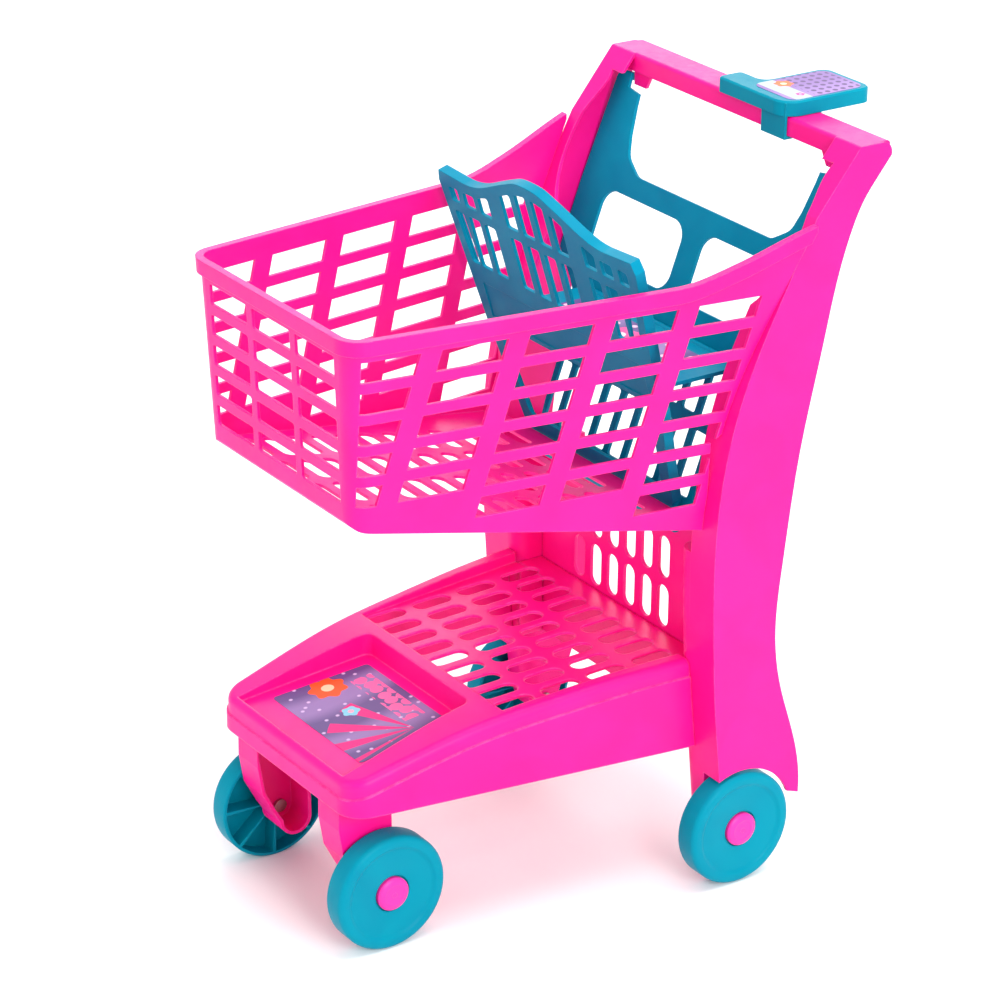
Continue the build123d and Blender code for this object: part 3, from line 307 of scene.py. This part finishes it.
def paint_rays(tree, ground, over, up, reach_mm, count, ray_hex, from_angle, to_angle):
    """Tapered rays that fan out from one point between two angles."""
    radius, angle = radius_and_angle(tree, over, up)
    wave = add_maths(tree, "SINE", add_maths(tree, "MULTIPLY", angle, count))
    bright = scaled(tree, wave, 0.0, 1.0, 0.1, 0.3)
    near = add_maths(tree, "LESS_THAN", radius, reach_mm * MM)
    after = add_maths(tree, "GREATER_THAN", angle, from_angle)
    before = add_maths(tree, "LESS_THAN", angle, to_angle)
    fan = add_maths(tree, "MULTIPLY", after, before)
    mask = add_maths(tree, "MULTIPLY", add_maths(tree, "MULTIPLY", bright, near), fan)
    return blend_colours(tree, mask, ground, to_linear(ray_hex))


def paint_dots(tree, ground, local, pitch_mm, dot_share, dot_hex, mask=None, scatter=0.0):
    """Round dots on a grid, or scattered, where the mask is 1."""
    cells = add_node(
        tree, "ShaderNodeTexVoronoi",
        {"Vector": local, "Scale": per_metre(pitch_mm), "Randomness": scatter},
        voronoi_dimensions="2D",
    ).outputs["Distance"]
    dots = scaled(tree, cells, 1.0, 0.0, dot_share, dot_share + 0.06)
    if mask is not None:
        dots = add_maths(tree, "MULTIPLY", dots, mask)
    return blend_colours(tree, dots, ground, to_linear(dot_hex))


def between(tree, value, low, high):
    """1 where a value lies between two limits."""
    return add_maths(
        tree, "MULTIPLY",
        add_maths(tree, "GREATER_THAN", value, low), add_maths(tree, "LESS_THAN", value, high),
    )


def printed_vinyl(name, paint):
    """Vinyl label whose ink colour a paint function works out."""
    material, tree = new_material(name)
    finish_material(tree, {
        "Base Color": paint(tree),
        "Roughness": 0.42,
        "IOR": 1.5,
        "Specular IOR Level": 0.2,
    })
    return material


def paint_tray_label(tree):
    local, across, along, size = label_frame(tree, "tray_label")
    ink = curtain_folds(tree, local, 9.0, "#5E4A84", "#8C74AC")
    ink = paint_dots(
        tree, ink, local, pitch_mm=15.0, dot_share=0.06, dot_hex="#C8B4DC", scatter=0.9
    )
    band = add_maths(
        tree, "MULTIPLY", between(tree, along, 0.70, 0.92), between(tree, across, 0.16, 0.78)
    )
    ink = paint_dots(
        tree, ink, local, pitch_mm=10.0, dot_share=0.46, dot_hex="#F060A0", mask=band, scatter=0.35
    )
    over, up = offset_from(tree, across, along, (0.88, 0.70), size)
    ink = paint_rays(
        tree, ink, over, up, reach_mm=62.0, count=13.0, ray_hex="#D8107C",
        from_angle=-3.1, to_angle=-1.35,
    )
    over, up = offset_from(tree, across, along, (0.13, 0.48), size)
    ink = paint_flower(
        tree, ink, over, up, radius_mm=15.0, petals=7.0, petal_hex="#F4541C", heart_hex="#F8C8A0"
    )
    over, up = offset_from(tree, across, along, (0.46, 0.42), size)
    return paint_flower(
        tree, ink, over, up, radius_mm=7.0, petals=5.0, petal_hex="#7CC8DC", heart_hex="#F0A4B8"
    )


def paint_seat_label(tree):
    local, across, along, size = label_frame(tree, "seat_label")
    ink = curtain_folds(tree, local, 11.0, "#6C5490", "#9C80B8")
    ink = paint_dots(
        tree, ink, local, pitch_mm=12.0, dot_share=0.18, dot_hex="#F4C8DC", scatter=0.8
    )
    over, up = offset_from(tree, across, along, (0.5, 0.5), size)
    return paint_flower(
        tree, ink, over, up, radius_mm=16.0, petals=6.0, petal_hex="#F0509C", heart_hex="#FCE0EC"
    )


def paint_phone_label(tree):
    local, across, along, size = label_frame(tree, "phone_label")
    ink = curtain_folds(tree, local, 14.0, "#7E5CA0", "#9474B4")
    keys = between(tree, along, 0.34, 0.96)
    ink = paint_dots(
        tree, ink, local, pitch_mm=7.0, dot_share=0.26, dot_hex="#4C2868", mask=keys
    )
    screen = between(tree, along, 0.06, 0.28)
    ink = blend_colours(tree, screen, ink, to_linear("#A8B4CC"))
    over, up = offset_from(tree, across, along, (0.24, 0.30), size)
    ink = paint_flower(
        tree, ink, over, up, radius_mm=7.5, petals=6.0, petal_hex="#F06428", heart_hex="#F8D0A8"
    )
    over, up = offset_from(tree, across, along, (0.80, 0.22), size)
    return paint_flower(
        tree, ink, over, up, radius_mm=3.6, petals=5.0, petal_hex="#F0308C", heart_hex="#F8B0D0"
    )


PINK = ("#F4108A", "#F00A84", "#FF6CBC")
PALE_PINK = ("#F0309C", "#EC2A96", "#FF7CC4")
TEAL = ("#0088A6", "#007C9C", "#20ACC8")
WHEEL_TEAL = ("#00889E", "#008098", "#28B0C4")

pink_moulding = polypropylene("pink_polypropylene", PINK, 1.1, gloss=0.2)
pink_base_moulding = polypropylene("pink_polypropylene_base", PINK, 2.2, gloss=0.2)
pink_cap_moulding = polypropylene("pink_polypropylene_cap", PALE_PINK, 0.5)
teal_moulding = polypropylene("teal_polypropylene", TEAL, 0.8, gloss=0.06)
teal_wheel_moulding = polypropylene("teal_polypropylene_wheel", WHEEL_TEAL, 0.8, gloss=0.06)
pin_steel = drawn_steel("drawn_steel_rod", "#B8B6B2", 0.34)
clip_steel = drawn_steel("zinc_plated_steel", "#C2C0BC", 0.28)

tray_print = printed_vinyl("printed_vinyl_tray", paint_tray_label)
seat_print = printed_vinyl("printed_vinyl_seat", paint_seat_label)
phone_print = printed_vinyl("printed_vinyl_phone", paint_phone_label)

NODE_MATERIALS = {
    "push_frame": pink_moulding,
    "basket": pink_moulding,
    "base_deck": pink_base_moulding,
    "rear_grille": pink_moulding,
    "front_leg_left": pink_moulding,
    "front_leg_right": pink_moulding,
    "axle_pins": pin_steel,
    "axle_clips": clip_steel,
    "frame_screws": clip_steel,
    "seat_gate": teal_moulding,
    "seat_back": teal_moulding,
    "seat_pan": teal_moulding,
    "phone_tray": teal_wheel_moulding,
    "seat_label": seat_print,
    "tray_label": tray_print,
    "phone_label": phone_print,
}


def dress(name, material):
    """Gives a CAD node its material."""
    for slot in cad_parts[name].material_slots:
        slot.material = material


for node_name, node_material in NODE_MATERIALS.items():
    dress(node_name, node_material)


# ---- wheels and hub caps ---------------------------------------------------
# Each is modelled once with its axis along X and its outer face at X = 0, then copied to the
# four corners.
CORNERS = ("front_right", "front_left", "rear_right", "rear_left")
SEGMENTS = 96
SPOKES = 8                      # divides SEGMENTS
WHEEL_R = 44.0 * MM
WHEEL_WIDTH = 18.5 * MM
TREAD_WALL = 2.6 * MM
HUB_R = 8.0 * MM
HUB_TUBE_OUT = 1.0 * MM         # the hub tube stands this far out of the back
BORE_R = 3.05 * MM
BORE_FRONT_RUN = 2.5 * MM       # lengths of the bore that its two ends are cut to
BORE_BACK_RUN = 8.0 * MM
RING_R = WHEEL_R - 8.0 * MM     # inner edge of the raised ring round the outer face
DISH_R = RING_R - 2.2 * MM
DISH_DEPTH = 1.8 * MM
DISH_RISE = 0.6 * MM            # the dish comes back out towards the cap
CAP_SEAT_R = 13.9 * MM
CAP_SEAT_DEPTH = 2.4 * MM
CLIP_POCKET_R = 7.4 * MM
CLIP_POCKET_DEPTH = 3.9 * MM
WEB_THICKNESS = 5.5 * MM
POCKET_BAND = 3.0 * MM          # how near the middle of the back a pocket's own middle lies
ROUNDED_EDGES = (               # radius, X, width, segments
    (WHEEL_R, 0.0, 4.2 * MM, 6),
    (WHEEL_R, -WHEEL_WIDTH, 1.0 * MM, 3),
    (RING_R, 0.0, 1.0 * MM, 3),
    (DISH_R, -DISH_DEPTH, 1.4 * MM, 3),
    (CAP_SEAT_R, DISH_RISE - DISH_DEPTH, 0.5 * MM, 2),
)
CAP_SEGMENTS = 72
CAP_R = 12.6 * MM
CAP_DRUM = 3.5 * MM
CAP_WALL = 1.8 * MM
CAP_HOLLOW = 2.4 * MM
CAP_DOME_MM = (                 # how much narrower and further out each step of the dome is
    (0.5, 0.7), (1.6, 0.9), (2.6, 0.5), (0.5, -0.25), (2.4, 0.15),
)
GATE_MARK_INSET = 3.0 * MM
GATE_MARK_DEPTH = 0.3 * MM


def start_disc(name, radius, depth, segments):
    """Cylinder primitive about the X axis whose +X face lies at X = 0, in edit mode."""
    bpy.ops.object.select_all(action="DESELECT")
    bpy.ops.mesh.primitive_cylinder_add(
        vertices=segments, radius=radius, depth=depth, location=(-depth / 2, 0, 0),
        rotation=(0, math.pi / 2, 0),
    )
    disc = bpy.context.object
    disc.name = name
    bpy.ops.object.transform_apply(location=True, rotation=True, scale=True)
    bpy.ops.object.mode_set(mode="EDIT")
    bpy.ops.mesh.select_mode(type="FACE")
    return disc


def pick(piece, kind, wanted):
    """Selects the faces or edges whose own data passes a test, and nothing else."""
    bpy.ops.mesh.select_all(action="DESELECT")
    cage = bmesh.from_edit_mesh(piece.data)
    for element in getattr(cage, kind):
        element.select_set(bool(wanted(element)))
    bmesh.update_edit_mesh(piece.data)


def end_cap(side):
    """Test for the widest-sided face that looks along X."""
    return lambda face: len(face.verts) > 8 and face.normal.x * side > 0.9


def inset_by(thickness):
    """Insets the selected face, whose inner part stays selected."""
    bpy.ops.mesh.inset(thickness=thickness, use_boundary=True)


def shift_selection(distance_x):
    bpy.ops.transform.translate(value=(distance_x, 0, 0))


def sink(depth_x):
    """Extrudes the selected faces along X."""
    bpy.ops.mesh.extrude_region_move(TRANSFORM_OT_translate={"value": (depth_x, 0, 0)})


def ring_edge(radius, x, slack=0.05 * MM):
    """Test for the edges of one circle about the X axis."""
    def wanted(edge):
        return all(
            abs(math.hypot(v.co.y, v.co.z) - radius) < slack and abs(v.co.x - x) < slack
            for v in edge.verts
        )
    return wanted


def round_ring(piece, radius, x, width, segments):
    """Rounds one circular edge."""
    bpy.ops.mesh.select_mode(type="EDGE")
    pick(piece, "edges", ring_edge(radius, x))
    bpy.ops.mesh.bevel(offset=width, segments=segments, profile=0.5, affect="EDGES")
    bpy.ops.mesh.select_mode(type="FACE")


def close_up(piece, material):
    """Leaves edit mode with normals outwards, smooth shading and a material."""
    bpy.ops.mesh.select_all(action="SELECT")
    bpy.ops.mesh.normals_make_consistent(inside=False)
    bpy.ops.object.mode_set(mode="OBJECT")
    bpy.ops.object.shade_smooth_by_angle(angle=math.radians(32))
    piece.data.materials.clear()
    piece.data.materials.append(material)


def model_wheel():
    """Moulded wheel: domed tread edge, raised ring, dished disc, cap seat, ribbed back."""
    wheel = start_disc("wheel_form", WHEEL_R, WHEEL_WIDTH, SEGMENTS)
    # outer face: raised ring, shallow dish, seat for the hub cap, pocket for the clip
    pick(wheel, "faces", end_cap(1))
    inset_by(WHEEL_R - RING_R)
    inset_by(RING_R - DISH_R)
    shift_selection(-DISH_DEPTH)
    inset_by(DISH_R - CAP_SEAT_R)
    shift_selection(DISH_RISE)
    sink(-CAP_SEAT_DEPTH)
    inset_by(CAP_SEAT_R - CLIP_POCKET_R)
    sink(-CLIP_POCKET_DEPTH)
    inset_by(CLIP_POCKET_R - BORE_R)
    sink(-BORE_FRONT_RUN)
    bpy.ops.mesh.delete(type="ONLY_FACE")
    # back: tread wall, hub tube and the pockets between the ribs
    pick(wheel, "faces", end_cap(-1))
    inset_by(TREAD_WALL)
    inset_by(WHEEL_R - TREAD_WALL - HUB_R)
    sink(-HUB_TUBE_OUT)
    inset_by(HUB_R - BORE_R)
    sink(BORE_BACK_RUN)
    bpy.ops.mesh.delete(type="ONLY_FACE")
    middle_r = (WHEEL_R - TREAD_WALL + HUB_R) / 2
    per_spoke = SEGMENTS // SPOKES

    def is_pocket(face):
        centre = face.calc_center_median()
        radius = math.hypot(centre.y, centre.z)
        if face.normal.x > -0.9 or abs(radius - middle_r) > POCKET_BAND:
            return False
        turn = math.atan2(centre.z, centre.y) / (2 * math.pi) * SEGMENTS
        return int(turn % per_spoke) != 0

    pick(wheel, "faces", is_pocket)
    sink(WHEEL_WIDTH - WEB_THICKNESS)
    # joins the bore's two ends
    bpy.ops.mesh.select_mode(type="EDGE")
    pick(wheel, "edges", lambda edge: len(edge.link_faces) == 1)
    bpy.ops.mesh.bridge_edge_loops()
    for radius, x, width, segments in ROUNDED_EDGES:
        round_ring(wheel, radius, x, width, segments)
    close_up(wheel, teal_wheel_moulding)
    return wheel


def model_hub_cap():
    """Snap-in cap: short drum with a low dome, a faint ring and a gate mark in the middle."""
    cap = start_disc("hub_cap_form", CAP_R, CAP_DRUM, CAP_SEGMENTS)
    pick(cap, "faces", end_cap(1))
    for narrower, outwards in CAP_DOME_MM:
        inset_by(narrower * MM)
        shift_selection(outwards * MM)
    inset_by(GATE_MARK_INSET)
    sink(-GATE_MARK_DEPTH)
    pick(cap, "faces", end_cap(-1))
    inset_by(CAP_WALL)
    sink(CAP_HOLLOW)
    close_up(cap, pink_cap_moulding)
    return cap


def place_copy(form, name, node, body):
    """Own copy of a form, set at the outer face of its wheel and turned outwards."""
    low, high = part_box(body)
    outer_x = high[0] if low[0] > 0 else low[0]
    turn = Matrix.Identity(4) if outer_x > 0 else Matrix.Rotation(math.pi, 4, "Z")
    centre = Vector((outer_x, (low[1] + high[1]) / 2, (low[2] + high[2]) / 2))
    piece = form.copy()
    piece.data = form.data.copy()
    piece.name = name
    bpy.context.collection.objects.link(piece)
    piece.data.transform(Matrix.Translation(centre) @ turn)
    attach(piece, body)
    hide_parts(node)


wheel_form = model_wheel()
cap_form = model_hub_cap()
for corner in CORNERS:
    body = f"wheel_{corner}"
    place_copy(wheel_form, f"moulded_wheel_{corner}", body, body)
    place_copy(cap_form, f"domed_cap_{corner}", f"hub_cap_{corner}", body)
bpy.data.objects.remove(wheel_form)
bpy.data.objects.remove(cap_form)


# ---- floor, light ----------------------------------------------------------
FLOOR_SIZE = 24.0
WORLD_STRENGTH = 0.92
LIGHTS_AIM = (0.0, 0.0, 0.28)
LIGHTS = (                      # name, place, diameter, watts
    ("side_key", (3.0, -0.4, 1.6), 1.8, 74.0),
    ("top_soft", (0.3, 0.4, 3.2), 2.4, 62.0),
    ("front_fill", (-0.6, -3.2, 1.0), 2.2, 17.0),
    ("back_soft", (-3.1, 2.1, 2.2), 3.0, 44.0),
)


def add_floor():
    bpy.ops.object.select_all(action="DESELECT")
    bpy.ops.mesh.primitive_plane_add(size=FLOOR_SIZE, location=(0, 0, 0))
    floor = bpy.context.object
    floor.name = "floor"
    material, tree = new_material("painted_studio_floor")
    place = add_node(tree, "ShaderNodeTexCoord").outputs["Object"]
    mottle = add_node(tree, "ShaderNodeTexNoise", {"Vector": place, "Scale": 3.0}).outputs["Fac"]
    colour = blend_colours(
        tree, scaled(tree, mottle, 0.0, 1.0), to_linear("#F6F6F6"), to_linear("#F9F9F9")
    )
    finish_material(tree, {"Base Color": colour, "Roughness": 0.9, "Specular IOR Level": 0.1})
    floor.data.materials.append(material)


def add_area_light(name, place, diameter, watts):
    """White disc light that faces the middle of the cart."""
    data = bpy.data.lights.new(name, "AREA")
    data.shape = "DISK"
    data.size = diameter
    data.energy = watts
    light = bpy.data.objects.new(name, data)
    bpy.context.collection.objects.link(light)
    aim = (Vector(LIGHTS_AIM) - Vector(place)).to_track_quat("-Z", "Y").to_matrix().to_4x4()
    light.matrix_world = Matrix.Translation(place) @ aim


def add_studio():
    world = bpy.data.worlds.new("studio")
    bpy.context.scene.world = world
    world.use_nodes = True
    tree = world.node_tree
    tree.nodes.clear()
    sky = add_node(
        tree, "ShaderNodeBackground", {"Color": to_linear("#FFFFFF"), "Strength": WORLD_STRENGTH}
    )
    add_node(tree, "ShaderNodeOutputWorld", {"Surface": sky.outputs["Background"]})
    for light in LIGHTS:
        add_area_light(*light)
    bpy.context.scene.view_settings.view_transform = "Standard"


add_floor()
add_studio()
